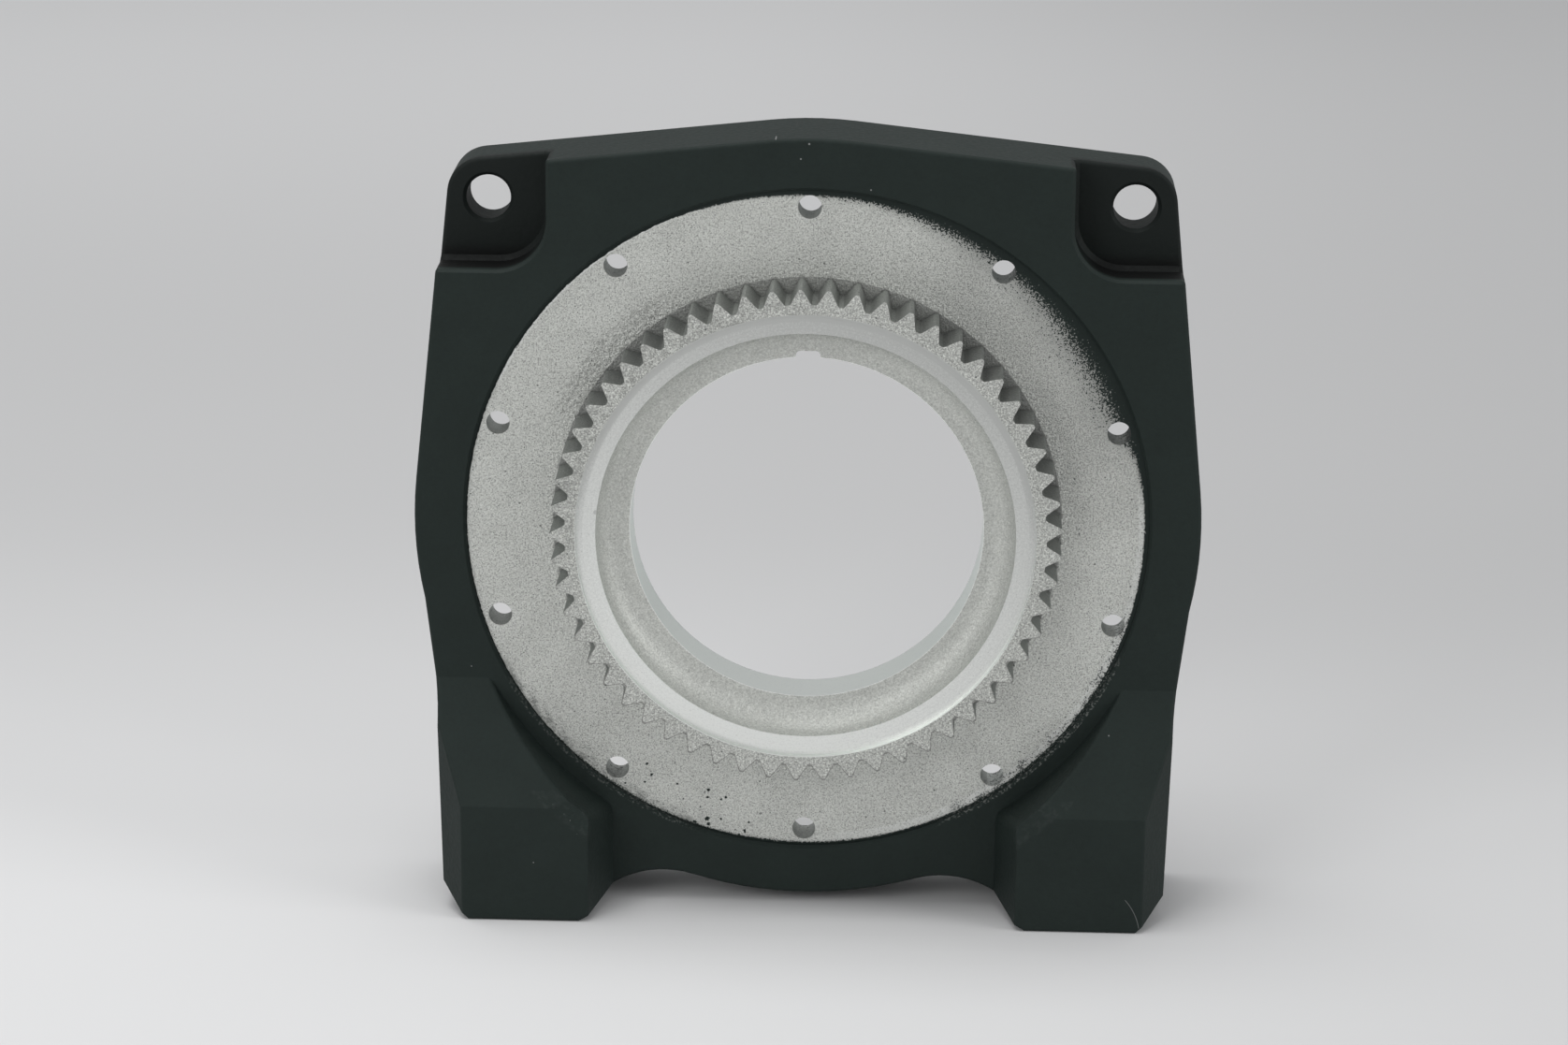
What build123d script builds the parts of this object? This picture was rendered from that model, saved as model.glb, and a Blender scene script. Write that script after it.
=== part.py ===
from build123d import *
import math
import os

# Gearbox base: one aluminium casting that stands on two feet and carries the gear housing of a drum drive.
# Frame: X across the casting, Y from the gear side (front, negative) to the drum side (back), Z up.
# Origin: on the ring axis, at the face that the gear housing is bolted to. All sizes are in millimetres.

# Outline of the body, seen from the front
BODY_R = 80.0             # round body, concentric with the ring
SOLE_DROP = 2.4           # soles below the lowest point of that circle
EAR_R = 7.6               # rounding of each top corner
EAR_INSET_X = 14.2        # middle of that rounding, inward of the body's widest point
EAR_INSET_Z = 14.3        # the same, below its highest point
WAIST_TOP_Z = -17.0       # where the round body gives way to the leg
WAIST_END_Z = -39.0       # where the side of the leg becomes nearly upright
WAIST_INSET = 4.4         # side of the leg there, inward of the body's widest point
WAIST_R = 60.0            # soft bend between the two
LEG_TAPER = 1.0           # how far the side comes in further down
SOLE_BEVEL = 5.6          # height of the bevel at the sole's outer edge
SOLE_BEVEL_WIDE = 5.8
SOLE_WIDE = 22.9
ARCH_SLOPE = 30.0         # degrees, underside between the feet where it rises from the sole
ARCH_R = 20.0             # hollow between that slope and the round belly

# Planes of the casting along Y, the housing face being 0
RECESS_DEPTH = 1.2        # front face of the body stands proud of the housing face
WEB = 7.5                 # thickness of the floor that the housing is bolted to
HOLLOW_DEPTH = 13.2       # from that floor's back to the back face of the body
FOOT_REACH = 12.8         # feet stand forward of the front face of the body
EAR_DEPTH = 9.2           # ears lie back from the front face of the body

# Feet
FOOT_FLARE = 6.2          # root of the foot's inner wall, inward of the flat sole
FOOT_LEAN = 18.5          # degrees, lean of that wall
FOOT_RIM = 6.9            # the inner wall follows the ring above that, this far inside the round body
FOOT_DRAFT = 3.0          # degrees, draft of the part that follows the ring
FOOT_CORNER_R = 3.0       # corner between the two inner walls
BEVEL_WIDE = 4.4          # shallow bevel where the ring wall meets the front of the foot
BEVEL_DEEP = 1.0
RAMP_RISE = 23.6          # height of the ramp from the front of the foot to the front face of the body
RAMP_OVER_CORNER = 3.9    # it starts this far above the corner between the inner walls
FACET_INSET = 4.7         # upright facet at the outer front edge, its start inward of the leg's side
FACET_ANGLE = 57.0        # degrees, the facet turned back from the front
FOOT_BOLT_INSET = 11.65   # foot bolt, inward of the flat sole's outer edge: 114.3 between the two bolts
FOOT_BOLT_R = 4.25        # tapping hole
FOOT_BOLT_DEEP = 20.0

# Ears
POCKET_INSET_X = 27.4     # upright wall of the step in front of each ear, inward of the body's widest point
POCKET_INSET_Z = 27.7     # level wall of the same step, below the body's highest point
POCKET_R = 10.3           # rounding between the two walls
POCKET_ROOT_BEVEL = 1.0   # foot of the walls
POCKET_RIM_BEVEL = 0.6    # their edge on the front face of the body
TIE_INSET_X = 0.8         # tie bar hole, inward of the middle of the corner's rounding
TIE_INSET_Z = 0.5         # the same hole, below it
TIE_R = 4.5
TIE_BEVEL = 0.7           # front edge of that hole
SOCKET_R = 6.0            # socket behind the hole for the end of the tie bar
SOCKET_DEEP = 4.0

# Housing face and its bolts
RIM = 10.4                # from the housing face's edge to the widest point of the body
BOLT_INSET = 3.6          # bolts, inward of the housing face's edge
BOLT_COUNT = 10
BOLT_R = 2.4

# Toothed boss
BOSS_HEIGHT = 10.5        # from the housing face to the front of the teeth
TOOTH_COUNT = 57
PITCH_R = 49.9
PRESSURE_ANGLE = 30.0     # degrees
ADDENDUM = 1.7
DEDENDUM = 1.4
TOOTH_BEVEL = 0.4         # height of the bevels at tips and roots
TIP_FLAT = 0.6
ROOT_FLAT = 0.9
LAND = 2.1                # between the tooth roots and the machined ring
SEAT_WIDE = 4.0           # machined ring inside the teeth
SEAT_DEPTH = 1.2
COVE_R = 5.0              # hollow at the foot of the wall inside the machined ring
LEDGE_Y = -2.8            # front of the lip round the bore
LIP_WIDE = 6.5            # from that wall to the bore
NOTCH_WIDE = 5.0          # notch in the top of the bore
NOTCH_DEEP = 1.3
NOTCH_CORNER_R = 1.0

# Hollow for the drum's flange
FLANGE_WALL = 7.0         # round it, inside the body's radius
FLANGE_DRAFT = 2.0        # degrees
FLANGE_ROOT_BEVEL = 1.5

# Softened edges of the casting, and how the shapes are worked
EDGE_R = 0.8
BACK_BEVEL = 0.8          # edge of the back face
RIM_BEVEL = 0.5           # edge of the front face round the housing face
SHARP_ANGLE = 50.0        # degrees, flatter corners are left as they are
PROBE = 0.03              # distance of the points that tell an outward corner from an inward one
PROBE_LIFT = PROBE / 20   # lift of those points off the surfaces
CLEAR = 1.0               # cutting shapes run this far past the surface that they cut into

FRONT = -RECESS_DEPTH
BODY_BACK = WEB + HOLLOW_DEPTH
FOOT_FRONT = FRONT - FOOT_REACH
EAR_FRONT = FRONT + EAR_DEPTH
REACH = 3 * BODY_R

SOLE_Z = -BODY_R - SOLE_DROP
WAIST_X = BODY_R - WAIST_INSET
FOOT_X = WAIST_X - LEG_TAPER
SOLE_OUTER_X = FOOT_X - SOLE_BEVEL_WIDE
SOLE_INNER_X = SOLE_OUTER_X - SOLE_WIDE
FOOT_INNER_X = SOLE_INNER_X - FOOT_FLARE
FOOT_BOLT_X = SOLE_OUTER_X - FOOT_BOLT_INSET
FACET_X = FOOT_X - FACET_INSET
FOOT_RING_R = BODY_R - FOOT_RIM
BEVEL_R = FOOT_RING_R + BEVEL_WIDE
RAMP_END_Z = RAMP_OVER_CORNER - math.sqrt(FOOT_RING_R**2 - FOOT_INNER_X**2)
RAMP_TOP_Z = RAMP_END_Z + RAMP_RISE

EAR_X = BODY_R - EAR_INSET_X
EAR_Z = BODY_R - EAR_INSET_Z
POCKET_X = BODY_R - POCKET_INSET_X
POCKET_Z = BODY_R - POCKET_INSET_Z
TIE_X = EAR_X - TIE_INSET_X
TIE_Z = EAR_Z - TIE_INSET_Z

RECESS_R = BODY_R - RIM
BOLT_CIRCLE_R = RECESS_R - BOLT_INSET
FLANGE_R = BODY_R - FLANGE_WALL
TIP_R = PITCH_R + ADDENDUM
ROOT_R = PITCH_R - DEDENDUM
FLANK_TOP_R = TIP_R - TOOTH_BEVEL
FLANK_LOW_R = ROOT_R + TOOTH_BEVEL
SEAT_R = ROOT_R - LAND
SEAT_BORE_R = SEAT_R - SEAT_WIDE
BORE_R = SEAT_BORE_R - LIP_WIDE


def prism(sketch, front, back):
    """Solid of a front view sketch between two planes along Y."""
    return extrude(Plane.XZ.offset(-back) * sketch, amount=back - front)


def turned(points):
    """Solid of revolution round the Y axis, of a section given as (radius, y) points."""
    section = make_face(Polyline(*[(r, y, 0) for r, y in points], close=True))
    return revolve(section, Axis.Y)


def both_sides(shape):
    """A shape on the right and its mirror image on the left."""
    return shape + mirror(shape, about=Plane.YZ)


def circle_edges(shape, radius, y):
    """Circular edges of a given radius in a plane across Y."""
    return [
        edge
        for edge in shape.edges().filter_by(GeomType.CIRCLE)
        if abs(edge.radius - radius) < PROBE and abs((edge @ 0).Y - y) < PROBE
    ]


def half_outline():
    """Right half of the front view: round body, ear joined to it by tangents, leg, arch and belly."""
    ear_angle = math.atan2(EAR_Z, EAR_X)
    spread = math.acos((BODY_R - EAR_R) / math.hypot(EAR_X, EAR_Z))
    upper = Vector(math.cos(ear_angle + spread), math.sin(ear_angle + spread))
    lower = Vector(math.cos(ear_angle - spread), math.sin(ear_angle - spread))
    ear = Vector(EAR_X, EAR_Z)
    waist_top = Vector(math.sqrt(BODY_R**2 - WAIST_TOP_Z**2), WAIST_TOP_Z)
    sole = Vector(SOLE_INNER_X, SOLE_Z)
    rise = Vector(-math.cos(math.radians(ARCH_SLOPE)), math.sin(math.radians(ARCH_SLOPE)))
    toward = sole.dot(rise)
    belly = sole + rise * (-toward - math.sqrt(toward**2 - sole.dot(sole) + BODY_R**2))
    edges = [
        RadiusArc((0, BODY_R), upper * BODY_R, BODY_R),
        Line(upper * BODY_R, ear + upper * EAR_R),
        RadiusArc(ear + upper * EAR_R, ear + lower * EAR_R, EAR_R),
        Line(ear + lower * EAR_R, lower * BODY_R),
        RadiusArc(lower * BODY_R, waist_top, BODY_R),
        Polyline(waist_top, (WAIST_X, WAIST_END_Z), (FOOT_X, SOLE_Z + SOLE_BEVEL), (SOLE_OUTER_X, SOLE_Z),
                 sole, belly),
        RadiusArc(belly, (0, -BODY_R), BODY_R),
        Line((0, -BODY_R), (0, BODY_R)),
    ]
    half = make_face(Wire([edge for piece in edges for edge in piece.edges()]))

    def corner(x, z):
        return min(half.vertices(), key=lambda v: math.hypot(v.X - x, v.Y - z))

    half = fillet(corner(WAIST_X, WAIST_END_Z), WAIST_R)
    return fillet(corner(belly.X, belly.Y), ARCH_R)


def body_outline():
    """Front view of the whole casting."""
    half = half_outline()
    return half + mirror(half, about=Plane.YZ)


def upright(points):
    """Column of a plan view shape given on the right, together with its mirror image on the left."""
    plan = make_face(Polyline(*points, close=True))
    return extrude(Plane.XY * (plan + mirror(plan, about=Plane.YZ)), amount=REACH, both=True)


def feet():
    """The blocks that stand forward of the body: outline pulled forward, then cut by ramp and walls."""
    block = prism(body_outline(), FOOT_FRONT, FRONT)
    above = [
        (FRONT, RAMP_TOP_Z),
        (FOOT_FRONT, RAMP_END_Z),
        (FOOT_FRONT - CLEAR, RAMP_END_Z),
        (FOOT_FRONT - CLEAR, REACH),
        (FRONT, REACH),
    ]
    ramp = make_face(Polyline(*above, close=True))
    block -= extrude(Plane.YZ * ramp, amount=REACH, both=True)
    ring_r = FOOT_RING_R + FOOT_REACH * math.tan(math.radians(FOOT_DRAFT))
    block -= turned([(0, FRONT), (FOOT_RING_R, FRONT), (ring_r, FOOT_FRONT), (0, FOOT_FRONT)])
    inner_x = FOOT_INNER_X + FOOT_REACH * math.tan(math.radians(FOOT_LEAN))
    block -= upright([(0, FRONT), (FOOT_INNER_X, FRONT), (inner_x, FOOT_FRONT), (0, FOOT_FRONT)])
    below_ramp = block.edges().filter_by(GeomType.ELLIPSE).filter_by(lambda e: e.center().Z < RAMP_END_Z)
    corners = below_ramp.sort_by(SortBy.LENGTH)[-2:]
    block = fillet(corners, FOOT_CORNER_R)
    facet_x = FACET_X + FOOT_REACH / math.tan(math.radians(FACET_ANGLE))
    block -= upright([(FACET_X, FOOT_FRONT), (facet_x, FRONT), (facet_x, FOOT_FRONT)])
    return block


def ear_steps():
    """What is cut away in front of the two ears, its walls bevelled at their foot and at their rim."""
    step = Rectangle(REACH - POCKET_X, REACH - POCKET_Z, align=(Align.MIN, Align.MIN))
    step = Pos(POCKET_X, POCKET_Z) * step
    inner = step.vertices().sort_by(lambda v: v.X + v.Y)[0]
    step = fillet(inner, POCKET_R)
    tool = prism(step, FOOT_FRONT, EAR_FRONT)
    floor = tool.faces().sort_by(Axis.Y)[-1]
    walls_and_rounding = floor.edges().sort_by(lambda e: e.center().X + e.center().Z)[:3]
    tool = chamfer(walls_and_rounding, POCKET_ROOT_BEVEL)
    rim = Plane.XZ.offset(-FRONT - POCKET_RIM_BEVEL) * step
    return both_sides(tool + extrude(rim, amount=POCKET_RIM_BEVEL, taper=-45))


def involute(angle):
    """Involute of an angle in radians."""
    return math.tan(angle) - angle


def half_tooth(radius):
    """Angle in radians between the middle of a tooth and its flank, at a radius."""
    base_r = PITCH_R * math.cos(math.radians(PRESSURE_ANGLE))
    at_pitch = math.pi / (2 * TOOTH_COUNT) + involute(math.radians(PRESSURE_ANGLE))
    return at_pitch - involute(math.acos(base_r / radius))


def toothed_outline():
    """Front view of the boss: involute teeth with bevelled tips and roots, one of them pointing to -X."""
    pitch = 2 * math.pi / TOOTH_COUNT
    low, top = half_tooth(FLANK_LOW_R), half_tooth(FLANK_TOP_R)
    tip, root = TIP_FLAT / 2 / TIP_R, ROOT_FLAT / 2 / ROOT_R
    one_tooth = [(FLANK_LOW_R, -low), (FLANK_TOP_R, -top), (TIP_R, -tip), (TIP_R, tip), (FLANK_TOP_R, top),
                 (FLANK_LOW_R, low), (ROOT_R, pitch / 2 - root), (ROOT_R, pitch / 2 + root)]
    points = []
    for number in range(TOOTH_COUNT):
        middle = math.pi + number * pitch
        points += [(r * math.cos(middle + turn), r * math.sin(middle + turn)) for r, turn in one_tooth]
    return make_face(Polyline(*points, close=True))


def bore_tool():
    """What is turned out of the boss: machined seat, wall, hollow corner, lip and bore."""
    seat_y = -BOSS_HEIGHT + SEAT_DEPTH
    cove_start = LEDGE_Y - COVE_R
    cove_mid = COVE_R * (1 - math.cos(math.radians(45)))
    front = -BOSS_HEIGHT - CLEAR
    section = [
        Polyline((SEAT_BORE_R - COVE_R, LEDGE_Y), (BORE_R, LEDGE_Y), (BORE_R, BODY_BACK), (0, BODY_BACK),
                 (0, front), (SEAT_R, front), (SEAT_R, seat_y), (SEAT_BORE_R, seat_y),
                 (SEAT_BORE_R, cove_start)),
        ThreePointArc((SEAT_BORE_R, cove_start), (SEAT_BORE_R - cove_mid, LEDGE_Y - cove_mid),
                      (SEAT_BORE_R - COVE_R, LEDGE_Y)),
    ]
    return revolve(make_face(Wire([e for piece in section for e in piece.edges()])), Axis.Y)


def flange_hollow():
    """Drafted hollow in the back for the flange of the drum, with a bevelled root."""
    depth = BODY_BACK - WEB
    mouth_r = FLANGE_R + depth * math.tan(math.radians(FLANGE_DRAFT))
    hollow = turned([(0, WEB), (FLANGE_R, WEB), (mouth_r, BODY_BACK), (0, BODY_BACK)])
    return chamfer(circle_edges(hollow, FLANGE_R, WEB), FLANGE_ROOT_BEVEL)


def notch():
    """Flat-topped notch in the top of the bore, through the floor of the casting."""
    height = 2 * NOTCH_DEEP
    shape = Pos(0, BORE_R + NOTCH_DEEP - height / 2) * Rectangle(NOTCH_WIDE, height)
    top = shape.vertices().sort_by(Axis.Y)[2:]
    return prism(fillet(top, NOTCH_CORNER_R), -BOSS_HEIGHT, BODY_BACK)


def bolt_holes():
    """Ring of holes for the bolts of the gear housing, one of them at the top."""
    ring = PolarLocations(BOLT_CIRCLE_R, BOLT_COUNT, start_angle=90)
    return prism(Sketch() + [place * Circle(BOLT_R) for place in ring], FRONT, BODY_BACK)


def tie_holes():
    """Holes for the tie bars that join this casting to the one at the other end of the drum."""
    hole = prism(Pos(TIE_X, TIE_Z) * Circle(TIE_R), FRONT, BODY_BACK)
    hole += prism(Pos(TIE_X, TIE_Z) * Circle(SOCKET_R), BODY_BACK - SOCKET_DEEP, BODY_BACK)
    return both_sides(hole)


def foot_holes():
    """Blind holes in the soles for the bolts that hold the casting down."""
    hole = Cylinder(FOOT_BOLT_R, FOOT_BOLT_DEEP, align=(Align.CENTER, Align.CENTER, Align.MIN))
    middle_y = (FOOT_FRONT + BODY_BACK) / 2
    return both_sides(Pos(FOOT_BOLT_X, middle_y, SOLE_Z) * hole)


def foot_bevels():
    """Shallow bevels between the fronts of the feet and their walls that follow the ring."""
    behind = FOOT_FRONT + BEVEL_DEEP
    return turned([(0, behind), (FOOT_RING_R, behind), (BEVEL_R, FOOT_FRONT), (0, FOOT_FRONT)])


def soft_edges(shape):
    """Edges of a casting that are softened: all its outward corners but those round the back face."""
    chosen = []
    for edge in shape.edges():
        middle = edge @ 0.5
        if middle.Y > BODY_BACK - BACK_BEVEL - PROBE:
            continue
        normals = [face.normal_at(middle) for face in shape.faces() if edge in face.edges()]
        if normals[0].get_angle(normals[1]) < SHARP_ANGLE:
            continue
        across = (normals[0] - normals[1]).normalized() * PROBE
        above = (normals[0] + normals[1]).normalized() * PROBE_LIFT
        beside = (middle + across + above, middle - across + above)
        if not any(shape.is_inside(point) for point in beside):
            chosen.append(edge)
    return chosen


def casting():
    """The casting with its outside softened, before anything is cut into it."""
    body = prism(body_outline(), FRONT, BODY_BACK)
    body = chamfer(body.faces().sort_by(Axis.Y)[-1].edges(), BACK_BEVEL)
    shell = (body + feet() - ear_steps()).solid()
    return Part() + fillet(soft_edges(shell), EDGE_R) - foot_bevels()


def gearbox_base():
    """The finished part."""
    body = casting() - prism(Circle(RECESS_R), FRONT - CLEAR, 0)
    body = chamfer(circle_edges(body, RECESS_R, FRONT), RIM_BEVEL)
    body = body - flange_hollow() - tie_holes()
    body = chamfer(circle_edges(body, TIE_R, EAR_FRONT), TIE_BEVEL)
    body += prism(toothed_outline(), -BOSS_HEIGHT, WEB / 2)
    return body - bore_tool() - notch() - bolt_holes() - foot_holes()


os.makedirs("parts", exist_ok=True)
export_step(gearbox_base(), "parts/gearbox_base.step")
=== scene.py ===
from math import degrees, radians

import bpy
from mathutils import Matrix, Vector

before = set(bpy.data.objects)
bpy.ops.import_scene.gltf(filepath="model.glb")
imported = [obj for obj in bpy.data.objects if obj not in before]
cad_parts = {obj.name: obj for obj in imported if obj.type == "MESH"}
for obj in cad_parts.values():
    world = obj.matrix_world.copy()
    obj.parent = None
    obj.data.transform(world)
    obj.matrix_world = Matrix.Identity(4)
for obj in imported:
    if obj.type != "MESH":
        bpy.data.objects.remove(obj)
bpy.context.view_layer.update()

# Frame: X across the casting, Y from its front to its back, Z up, with 0 on the ring axis in the housing face.
# Sizes on the casting are in millimetres. A clock angle is in degrees clockwise from the top, as seen from the front,
# and a radius is a distance from the ring axis. The studio is in metres.

MM = 0.001

# The coat and its edge
COAT_EDGE_R = 69.1        # the coat ends here, on the housing face just inside its edge
COAT_SHIFT_X = -0.3       # the masking disc sat a little to the left
COAT_SHIFT_Z = -0.3       # and a little low
COAT_TINT = (0.66, 1.0, 0.89)
WEB_BACK_Y = 7.5          # bore and bolt holes are bare up to this plane

# Overspray inside that edge: share of a turn from the top, and how far it reaches there as a share of its full depth
OVERSPRAY_DEPTH = 11.0
OVERSPRAY_REACH = [
    (0.0, 0.15), (0.03, 0.20), (0.06, 0.46), (0.10, 0.60), (0.125, 0.80), (0.155, 1.0), (0.185, 1.0), (0.202, 0.70),
    (0.215, 0.20), (0.235, 0.07), (0.40, 0.03), (0.52, 0.10), (0.56, 0.05), (0.60, 0.10), (0.64, 0.02), (0.93, 0.0),
    (0.965, 0.08), (1.0, 0.13)]

# The boss and its teeth, from the outside in
BOSS_FRONT_Y = -10.5
TOOTH_COUNT = 57
TOOTH_CLOCK = 270.0       # the middle of one tooth
TOOTH_TIP_R = 51.6
TOOTH_ROOT_R = 48.5
TOOTH_ROOT_SHARE = 0.16   # half the gap's floor, as a share of half the pitch
TOOTH_FLANK_SHARE = 0.73  # one flank, as a share of half the pitch
SEAT_Y = -9.3             # turned ring
SEAT_OUTER_R = 46.4
SEAT_INNER_R = 42.4
BORE_R = 35.9
NICK = (-42.3, 4.6)       # X and Z of a nick in the seat's inner edge

# The screw holes in the housing face
BOLT_CIRCLE_R = 66.0
BOLT_R = 2.4
BOLT_STEP = 36.0          # degrees from bolt to bolt, one of them at the top

# The ears' pockets and the feet
POCKET_FROM_X = 52.0
POCKET_TO_X = 78.4
POCKET_FROM_Z = 51.5
POCKET_TO_Z = 78.2
FOOT_FRONT_Y = -14.0
FOOT_RING_R = 73.1        # wall of the foot that follows the ring
FOOT_BEVEL_R = 77.5       # outer edge of the worn bevel in front of that wall
HAIR_MIDDLE = (57.0, -83.3)   # the hair on the right foot lies on a circle round this X and Z
HAIR_R = 12.6

# X, Z and radius of the white dust dots on the coat
DUST_DOTS = [
    (-14.48, 79.5, 0.16), (-6.9, 79.8, 0.16), (-0.23, 78.98, 0.2), (-1.87, 75.94, 0.17), (12.1, 69.9, 0.15),
    (-68.75, -31.45, 0.12), (-55.1, -69.45, 0.12), (62.4, -42.2, 0.13)]

METAL_TINT = (0.985, 1.0, 0.95)
TURNED_TINT = (0.985, 1.0, 0.97)
FLOOR_TINT = (1.0, 1.0, 1.005)
FLOOR_Z = -82.4           # what the feet stand on
FLOOR_HALF = 8.0


class Field:
    """A number, colour or vector that varies over a surface. Arithmetic on numbers adds Math nodes."""

    def __init__(self, tree, socket=None):
        self.tree = tree
        self.socket = socket

    def node(self, kind, settings=None, values=None, out=0):
        """Any node: its settings are set first, then the values or links of its sockets."""
        made = self.tree.nodes.new(kind)
        for name, value in (settings or {}).items():
            if name == "stops":
                stops = made.color_ramp.elements
                stops.remove(stops[1])
                for number, (at, level) in enumerate(value):
                    stop = stops.new(at) if number else stops[0]
                    stop.position = at
                    stop.color = (level, level, level, 1.0)
            else:
                setattr(made, name, value)
        for name, value in (values or {}).items():
            if isinstance(value, Field):
                self.tree.links.new(value.socket, made.inputs[name])
            else:
                made.inputs[name].default_value = value
        return Field(self.tree, made.outputs[out])

    def math(self, operation, *terms):
        return self.node("ShaderNodeMath", {"operation": operation}, dict(enumerate(terms)))

    def __add__(self, other):
        return self.math("ADD", self, other)

    __radd__ = __add__

    def __sub__(self, other):
        return self.math("SUBTRACT", self, other)

    def __rsub__(self, other):
        return self.math("SUBTRACT", other, self)

    def __mul__(self, other):
        return self.math("MULTIPLY", self, other)

    __rmul__ = __mul__

    def __truediv__(self, other):
        return self.math("DIVIDE", self, other)

    def __pow__(self, other):
        return self.math("POWER", self, other)

    def __mod__(self, other):
        return self.math("FLOORED_MODULO", self, other)

    def __abs__(self):
        return self.math("ABSOLUTE", self)

    def rises(self, low, high):
        """0 below low, 1 above high, smooth between."""
        ends = {"From Min": low, "From Max": high, "Value": self}
        return self.node("ShaderNodeMapRange", {"interpolation_type": "SMOOTHSTEP"}, ends)

    def falls(self, low, high):
        return 1 - self.rises(low, high)

    def within(self, low, high, soft):
        """1 from low to high, fading to 0 over soft on either side."""
        return self.rises(low - soft, low) * self.falls(high, high + soft)

    def noise(self, size, detail, roughness):
        """Cloudy values about 0.5 with lumps of that size, at points given in millimetres."""
        values = {"Vector": self, "Scale": 1 / size, "Detail": detail, "Roughness": roughness}
        return self.node("ShaderNodeTexNoise", None, values)

    def swing(self, amount):
        """A noise taken about 0 instead of 0.5, times that amount."""
        return (self - 0.5) * amount

    def spots(self, spacing):
        """Distance to the nearest of many scattered points, in units of their spacing."""
        return self.node("ShaderNodeTexVoronoi", None, {"Vector": self, "Scale": 1 / spacing})


def largest(first, *others):
    for other in others:
        first = first.math("MAXIMUM", first, other)
    return first


def mixed(low, high, amount):
    """Colour between two colours."""
    return amount.node("ShaderNodeMix", {"data_type": "RGBA"}, {0: amount, 6: low, 7: high}, out=2)


def grey(level, tint=(1.0, 1.0, 1.0)):
    return (level * tint[0], level * tint[1], level * tint[2], 1.0)


def new_finish(name):
    """An empty material, a start for its fields, and its surface shader."""
    finish = bpy.data.materials.new(name)
    finish.use_nodes = True
    return finish, Field(finish.node_tree), finish.node_tree.nodes["Principled BSDF"]


def feed(shader, values):
    for name, value in values.items():
        if isinstance(value, Field):
            value.tree.links.new(value.socket, shader.inputs[name])
        else:
            shader.inputs[name].default_value = value


def axes(place, names):
    return [place.node("ShaderNodeSeparateXYZ", None, {0: place}, out=name) for name in names]


class Place:
    """Where a point lies on the casting, the noises that several finishes share, and the parts of the bare metal."""

    def __init__(self, start):
        place = start.node("ShaderNodeTexCoord", out="Object")
        self.point = place.node("ShaderNodeVectorMath", {"operation": "SCALE"}, {0: place, "Scale": 1 / MM})
        self.x, self.y, self.z = axes(self.point, "XYZ")
        self.radius = (self.x * self.x + self.z * self.z) ** 0.5
        self.upward = self.z / self.radius        # 1 at the top of the ring, -1 at its bottom
        turn = self.x.math("ARCTAN2", self.x, self.z)
        self.clock = (turn * degrees(1)) % 360.0
        ring_point = turn.node("ShaderNodeCombineXYZ", None, {"X": self.radius, "Y": turn * 30.0, "Z": self.y})

        self.grain = self.point.noise(0.30, 1.0, 0.5)
        self.fine = self.point.noise(0.55, 2.0, 0.6)
        self.coarse = self.point.noise(1.3, 3.0, 0.6)
        self.cloud = self.point.noise(9.0, 3.0, 0.5)
        self.flow = self.point.noise(1.0, 4.0, 0.7)
        self.peel = self.point.noise(0.9, 2.0, 0.5)
        self.streak = ring_point.noise(1.2, 3.0, 0.6)
        self.lines = self.radius.node("ShaderNodeTexNoise", {"noise_dimensions": "1D"},
                                      {"W": self.radius, "Scale": 5.0, "Detail": 3.0})

        seat = self.radius.within(SEAT_INNER_R - 0.1, SEAT_OUTER_R + 0.05, 0.08)
        self.turned = seat * self.y.falls(SEAT_Y + 0.15, SEAT_Y + 0.3)
        self.bored = self.radius.falls(BORE_R + 0.05, BORE_R + 0.15)
        self.machined = largest(self.turned, self.bored)
        self.cove = self.radius.within(BORE_R + 0.2, SEAT_INNER_R - 0.05, 0.1)
        front = self.y.falls(BOSS_FRONT_Y + 0.3, BOSS_FRONT_Y + 0.6)
        self.land = self.radius.within(SEAT_OUTER_R, TOOTH_ROOT_R + 3.0, 0.3) * front
        worn_land = self.land * abs(self.clock - 320.0).falls(35.0, 75.0)
        wrinkled = self.radius.within(TOOTH_TIP_R, 56.0, 1.0) * self.clock.within(298.0, 326.0, 8.0)
        self.rough = largest(worn_land, wrinkled * self.y.rises(-0.6, -0.3))

    def away_from(self, x, z):
        return ((self.x - x) * (self.x - x) + (self.z - z) * (self.z - z)) ** 0.5


def coat_edge(at):
    """Radius at which the coat begins: round, a little off centre and slightly ragged."""
    return COAT_EDGE_R + (at.x * COAT_SHIFT_X + at.z * COAT_SHIFT_Z) / at.radius + at.coarse.swing(0.7)


def overspray(at, edge):
    """Coat dust inside that edge, most of it at the upper right: solid, then speckled, then a thin haze."""
    turn = at.clock / 360.0
    reach = turn.node("ShaderNodeValToRGB", {"stops": OVERSPRAY_REACH}, {0: turn})
    depth = reach * OVERSPRAY_DEPTH + 0.1
    nearness = largest((at.radius - edge + depth) / depth, 0.0)
    drift = at.grain.swing(2.0) + at.fine.swing(1.7) + at.coarse.swing(0.6)
    dust = (nearness ** 2.3 * 1.15 + drift).rises(0.25, 0.65)
    haze = (nearness * 0.65 + drift).rises(0.22, 0.75) * 0.65 * reach.rises(0.2, 0.6)
    return largest(dust, haze) * at.y.rises(-3.0, -1.5) * at.radius.rises(53.0, 55.0)


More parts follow.
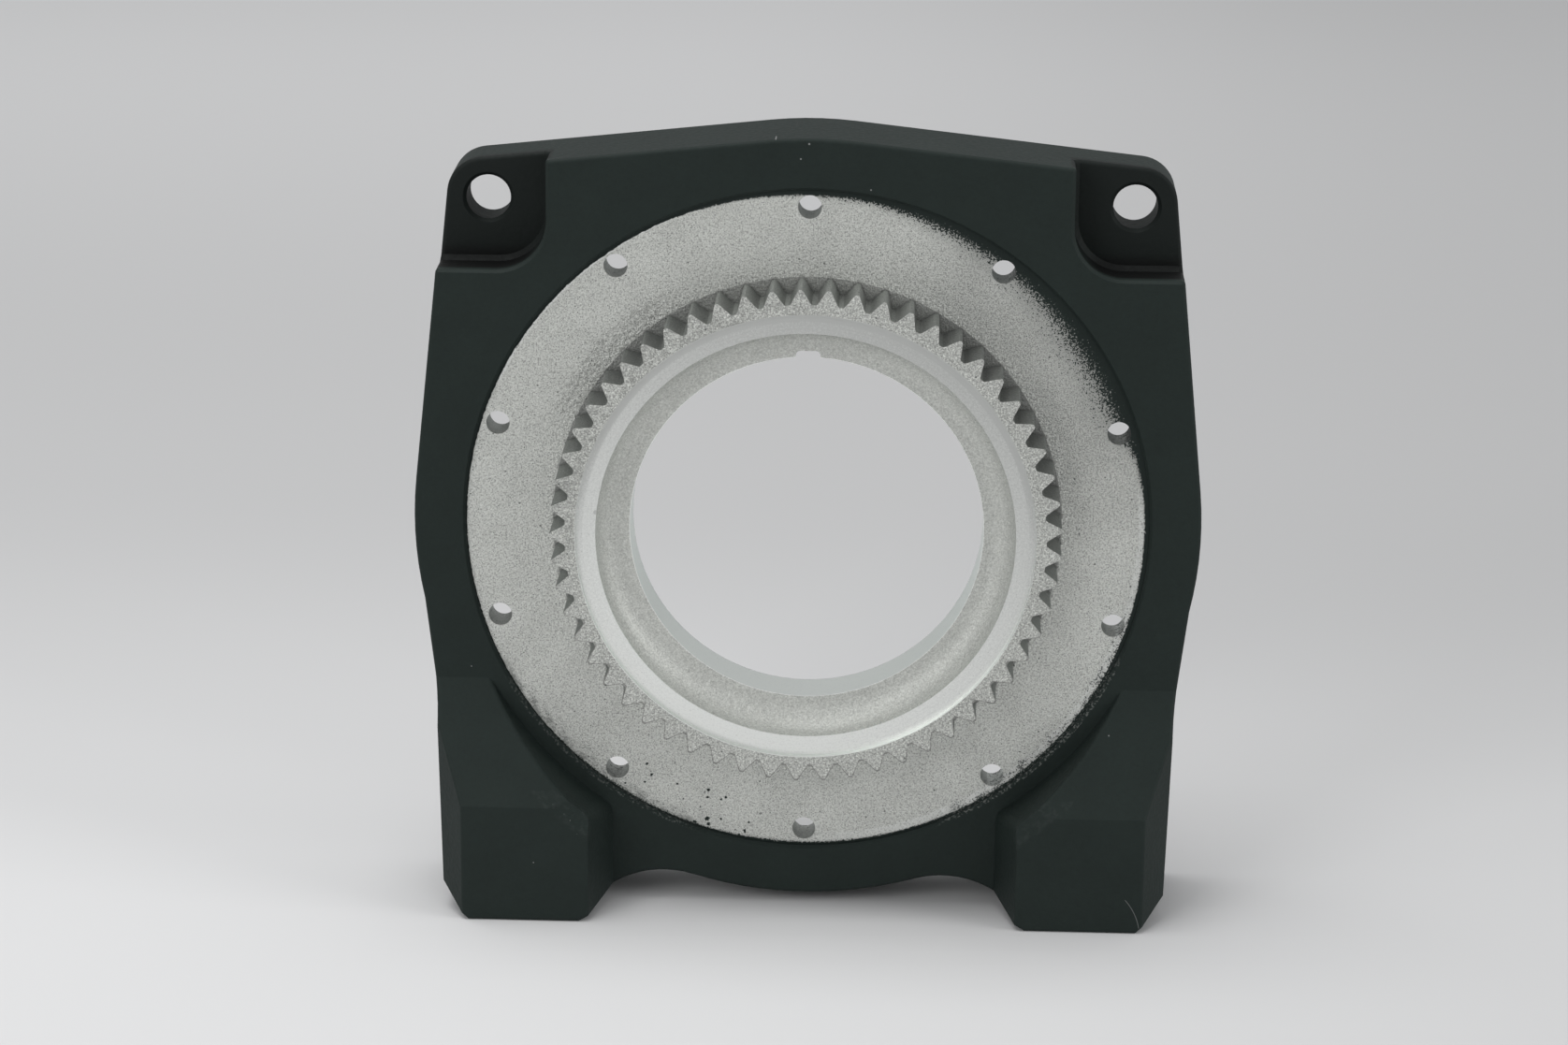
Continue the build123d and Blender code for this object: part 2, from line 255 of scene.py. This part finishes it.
def coat_marks(at):
    """Coat on the metal: specks at the lower left, stray grains, and streaks along the edge at the lower corners."""
    specks = (at.point.spots(2.0) + at.fine.swing(0.35) + at.cloud.swing(0.5)).falls(0.12, 0.20)
    specks = specks * at.clock.within(190.0, 214.0, 4.0) * at.radius.within(60.5, 69.0, 1.0)
    stray = at.point.spots(3.4).falls(0.045, 0.075) * at.radius.within(47.0, 69.0, 1.0)
    streaks = at.streak + at.fine.swing(1.2) + at.grain.swing(1.0) + (at.radius - 69.0) * 0.10
    streaks = streaks.rises(0.46, 0.56) * at.radius.within(66.5, 69.5, 1.0) * 0.85
    streaks = streaks * (at.clock.within(108.0, 150.0, 10.0) + at.clock.within(203.0, 240.0, 8.0) * 0.7)
    return largest(specks, stray * 0.7, streaks)


def rubbed_coat(at):
    """Metal that shows faintly through the coat just outside its edge, at the lower corners."""
    lower_right = at.clock.within(117.0, 152.0, 6.0) * at.radius.within(69.2, 70.2, 0.2) * 0.16
    lower_left = at.clock.within(203.0, 237.0, 6.0) * at.radius.within(69.2, 70.3, 0.2) * 0.08
    return largest(lower_right, lower_left) * at.fine.rises(0.50, 0.62) * at.y.within(-1.9, 0.0, 0.3)


def polished_and_highlight_rims(at):
    """Brighter metal just inside the coat's edge: a band at the right that is partly metal polished by rubbing and
    partly a painted highlight, and a thin painted highlight on the rim at the upper left.
    """
    # Painted highlight: the band at the right is partly polished metal and partly painted highlight; the rim at the
    # upper left is a painted highlight.
    polished_and_lit_band = at.radius.within(67.5, 68.7, 0.35) * at.clock.within(88.0, 172.0, 8.0)
    rim_highlight = at.radius.within(68.8, 69.3, 0.2) * at.clock.within(298.0, 332.0, 6.0)
    return largest(polished_and_lit_band * (at.fine.rises(0.36, 0.52) * 0.45 + 0.2), rim_highlight * at.streak.rises(0.36, 0.46))


def tooth_dirt_and_shade(at):
    """Dark lines round the teeth: at their foot, dirt and painted shade in the corner; on their front bevels in the
    lower half, painted shade.
    """
    along = (at.clock - TOOTH_CLOCK) * (TOOTH_COUNT / 360) % 1.0 - 0.5
    flank = (abs(along) * 2 - TOOTH_ROOT_SHARE) / TOOTH_FLANK_SHARE
    flank = flank.math("MINIMUM", largest(flank, 0.0), 1.0)
    beyond = at.radius - TOOTH_ROOT_R - flank * (TOOTH_TIP_R - TOOTH_ROOT_R)
    # Dirt and painted shade where the teeth meet the floor.
    foot = beyond.within(-0.3, 0.4, 0.4) * at.y.rises(-0.7, -0.4) * at.fine.rises(0.25, 0.5) * 0.6
    # Painted shade on the front bevels, kept to the lower half.
    bevel = beyond.within(-0.35, 0.5, 0.1) * at.y.falls(BOSS_FRONT_Y + 0.5, BOSS_FRONT_Y + 0.9)
    return largest(foot, bevel * at.upward.falls(-0.7, 0.1))


def painted_gap_shade(at):
    """Painted shade on the flanks and floors of the tooth gaps, a little paler at the top."""
    gap = at.radius.within(TOOTH_ROOT_R - 0.1, TOOTH_TIP_R + 0.1, 0.1) * at.y.within(BOSS_FRONT_Y + 0.2, -0.05, 0.15)
    # Painted shade between the teeth.
    return gap * (at.fine.rises(0.2, 0.5) * 0.35 + 0.50 - at.upward.rises(0.75, 0.98) * 0.2)


def hole_wall_darkening(at):
    """Darker walls of the screw holes."""
    around = ((at.clock + BOLT_STEP / 2) % BOLT_STEP - BOLT_STEP / 2) * radians(BOLT_CIRCLE_R)
    across = at.radius - BOLT_CIRCLE_R
    away = (around * around + across * across) ** 0.5
    return away.falls(BOLT_R + 0.05, BOLT_R + 0.2) * at.y.rises(0.02, 0.3)


def blasted_colour(at):
    """Grainy metal: rough where it flowed, duller on the land and beside the overspray, smoother in the cove."""
    shade = at.grain.swing(2.0) + at.fine.swing(1.5) + at.coarse.swing(0.3) + at.cloud.swing(0.3) + 0.5
    shade = shade + (at.flow.swing(1.3) - 0.08) * at.rough - at.land * 0.16
    shade = shade - at.clock.within(38.0, 72.0, 25.0) * at.radius.within(56.0, 69.0, 6.0) * 0.22
    shade = shade + (0.55 - shade) * at.cove * 0.6 - at.cove * 0.12
    colour = mixed(grey(0.32, METAL_TINT), grey(0.86, METAL_TINT), shade)
    # Dirt and painted shade round the teeth, painted shade in the tooth gaps, and darker screw-hole walls.
    colour = mixed(colour, grey(0.13, (1.0, 0.98, 0.94)), tooth_dirt_and_shade(at) * 0.6)
    colour = mixed(colour, grey(0.15, (0.98, 1.0, 0.97)), painted_gap_shade(at))
    return mixed(colour, grey(0.22, (1.0, 0.98, 0.95)), hole_wall_darkening(at) * 0.45)


def machined_colour(at):
    """Turned seat and bore: fine lines and pits, a painted shadow or a thin painted highlight at the seat's edge, a
    painted reflection that makes the seat brighter at the lower left, and the nick.
    """
    pits = at.point.spots(1.1).falls(0.07, 0.13) * 0.5
    sheen = at.lines * 0.35 + at.fine.swing(0.7) + at.grain.swing(0.7) + 0.35 - pits
    # Painted shadow along the top of the seat's outer edge, and a painted highlight along its bottom.
    edge_shade = at.radius.within(SEAT_OUTER_R - 0.9, SEAT_OUTER_R, 0.9) * at.upward.rises(-0.3, 0.7)
    edge_highlight = at.radius.within(SEAT_OUTER_R - 0.3, SEAT_OUTER_R, 0.1) * at.upward.falls(-0.75, -0.2)
    # Painted reflection: the turned seat is brighter at the lower left and darker at the upper right.
    sheen = sheen - edge_shade * 0.6 + edge_highlight * 0.5 - (at.z * 0.45 + at.x * 0.12) / at.radius * at.turned
    sheen = sheen + at.bored * 0.5 - at.away_from(*NICK).falls(0.25, 0.5) * 3.0
    return mixed(grey(0.54, TURNED_TINT), grey(0.86, TURNED_TINT), sheen)


def coat_dust(at):
    """Pale marks on the coat: scuffs and chips on the feet's bevels, dust dots, and the hair on the right foot."""
    bevel = at.radius.within(FOOT_RING_R - 0.4, FOOT_BEVEL_R, 0.8)
    bevel = bevel * at.y.within(FOOT_FRONT_Y - 0.5, FOOT_FRONT_Y + 1.6, 0.3)
    scuffs = bevel * at.coarse.rises(0.45, 0.70) * 0.018
    chips = bevel * (at.point.spots(1.4) + at.fine.swing(0.4)).falls(0.04, 0.09) * 0.2 * at.x.falls(-5.0, 5.0)
    hair = at.away_from(*HAIR_MIDDLE).within(HAIR_R - 0.03, HAIR_R + 0.03, 0.05)
    hair = hair * at.z.within(-81.0, -75.1, 0.3) * at.x.within(60.0, 72.0, 0.3)
    hair = hair * at.y.falls(FOOT_FRONT_Y + 0.1, FOOT_FRONT_Y + 0.4) * 0.35
    dots = [at.away_from(x, z).falls(size * 0.7, size * 1.3) for x, z, size in DUST_DOTS]
    return largest(scuffs, chips, hair, largest(*dots) * 0.5 * at.y.falls(2.0, 3.0))


def coat_colour(at):
    """Near-black coat, with painted shade in the pockets of the ears, darkest on their lower walls."""
    coat = mixed(grey(0.0140, COAT_TINT), grey(0.0225, COAT_TINT), at.peel.swing(0.9) + at.cloud.swing(0.6) + 0.5)
    pocket = abs(at.x).within(POCKET_FROM_X, POCKET_TO_X, 0.5) * at.z.within(POCKET_FROM_Z, POCKET_TO_Z, 0.5)
    lower_wall = at.z.falls(POCKET_FROM_Z + 2.0, POCKET_FROM_Z + 4.5)
    # Painted shade in the ears' pockets, strongest on their lower walls.
    coat = mixed(coat, grey(0.001), pocket * at.y.within(1.5, 9.5, 1.0) * (lower_wall * 0.35 + 0.65))
    return mixed(coat, grey(0.42), coat_dust(at))


def casting_finish():
    """Powder coat outside; blasted metal in the recess, on the boss and in the bore; overspray between them."""
    finish, start, shader = new_finish("coated_and_bare_casting")
    at = Place(start)
    edge = coat_edge(at)
    uncoated = at.radius.falls(edge - 0.12, edge + 0.12) * at.y.falls(WEB_BACK_Y - 0.1, WEB_BACK_Y - 0.02)
    metal = largest(uncoated * (1 - largest(overspray(at, edge), coat_marks(at))), rubbed_coat(at))

    # Polished metal and painted highlights just inside the coat's edge.
    bright = polished_and_highlight_rims(at)
    metal_colour = mixed(blasted_colour(at), machined_colour(at), largest(at.machined, bright))
    smooth = largest(at.machined * 0.8, bright)
    metal_roughness = 0.50 + at.fine.swing(0.25) - smooth * 0.16
    coat_roughness = 0.62 + at.peel.swing(0.2)

    grains = at.grain.swing(0.8) + at.fine.swing(1.4) + at.coarse.swing(0.5) + at.flow.swing(4.5) * at.rough
    metal_height = grains * (1 - at.machined) + at.lines.swing(0.25) * at.machined
    coat_height = at.peel.swing(0.8) + at.coarse.swing(0.3)
    height = coat_height * (1 - uncoated) + metal_height * uncoated
    feed(shader, {
        "Base Color": mixed(coat_colour(at), metal_colour, metal),
        "Metallic": metal * (0.82 - at.cove * 0.35 + at.machined * 0.18),
        "Roughness": coat_roughness + (metal_roughness - coat_roughness) * metal,
        "Normal": height.node("ShaderNodeBump", None, {"Strength": 1.0, "Distance": 0.09 * MM, "Height": height}),
        "Specular IOR Level": 0.22,
        "Specular Tint": (0.94, 1.0, 0.98, 1.0),
    })
    return finish


def floor_finish():
    """Pale floor with painted light: brightest in front of the casting, a little painted shade behind it and at the
    right.
    """
    finish, start, shader = new_finish("pale_floor")
    across, depth = axes(start.node("ShaderNodeTexCoord", out="Object"), "XY")
    # Painted light and shade on the floor.
    colour = mixed(grey(0.71, FLOOR_TINT), grey(0.53, FLOOR_TINT), depth.rises(-0.05, 0.30))
    colour = mixed(colour, grey(0.65, FLOOR_TINT), depth.rises(0.4, 1.0))
    colour = mixed(colour, grey(0.45, FLOOR_TINT), across.rises(-0.1, 0.3) * 0.55)
    feed(shader, {"Base Color": colour, "Roughness": 0.9, "Specular IOR Level": 0.1})
    return finish


def pale_floor():
    corners = [(-FLOOR_HALF, -FLOOR_HALF), (FLOOR_HALF, -FLOOR_HALF), (FLOOR_HALF, FLOOR_HALF),
               (-FLOOR_HALF, FLOOR_HALF)]
    mesh = bpy.data.meshes.new("floor")
    mesh.from_pydata([(x, y, FLOOR_Z * MM) for x, y in corners], [], [(0, 1, 2, 3)])
    mesh.materials.append(floor_finish())
    floor = bpy.data.objects.new("floor", mesh)
    bpy.context.collection.objects.link(floor)


def lamp(name, place, size, power):
    """A soft square lamp that faces the middle of the casting."""
    light = bpy.data.lights.new(name, "AREA")
    light.size = size
    light.energy = power
    holder = bpy.data.objects.new(name, light)
    bpy.context.collection.objects.link(holder)
    holder.location = place
    holder.rotation_euler = Vector(place).to_track_quat("Z", "Y").to_euler()


def studio():
    """Even pale surroundings, a wide lamp overhead and weaker ones at the front left and the right."""
    world = bpy.data.worlds.new("pale_room")
    bpy.context.scene.world = world
    world.use_nodes = True
    room = world.node_tree.nodes["Background"]
    room.inputs["Color"].default_value = (0.98, 0.99, 1.0, 1.0)
    room.inputs["Strength"].default_value = 0.52
    lamp("overhead", (-0.35, 0.0, 1.7), 1.1, 15.0)
    lamp("front_left", (-1.1, -1.5, 0.9), 0.8, 9.0)
    lamp("right", (1.6, -0.55, 0.6), 0.8, 8.0)


def camera():
    """The viewing angle of the photograph: 17 degrees down, 2 degrees from the right."""
    right = Vector((0.99924252, 0.03809540, 0.00794517))
    down = Vector((0.01872846, -0.29180290, -0.95629510))
    ahead = Vector((-0.03411202, 0.95571952, -0.29229533))
    place = Vector((0.02391848, -0.80029301, 0.24511944))
    photo_width = 1676.0
    focal_length = 4400.0     # in the photograph's pixels
    view = bpy.data.cameras.new("camera")
    view.sensor_width = 36.0
    view.lens = focal_length / photo_width * view.sensor_width
    view.clip_start = 0.05
    view.clip_end = 100.0
    holder = bpy.data.objects.new("camera", view)
    bpy.context.collection.objects.link(holder)
    holder.matrix_world = Matrix.Translation(place) @ Matrix((right, -down, -ahead)).transposed().to_4x4()
    bpy.context.scene.camera = holder


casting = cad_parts["gearbox_base"]
casting.data.materials.clear()
casting.data.materials.append(casting_finish())
pale_floor()
studio()
camera()
bpy.context.scene.view_settings.view_transform = "Standard"
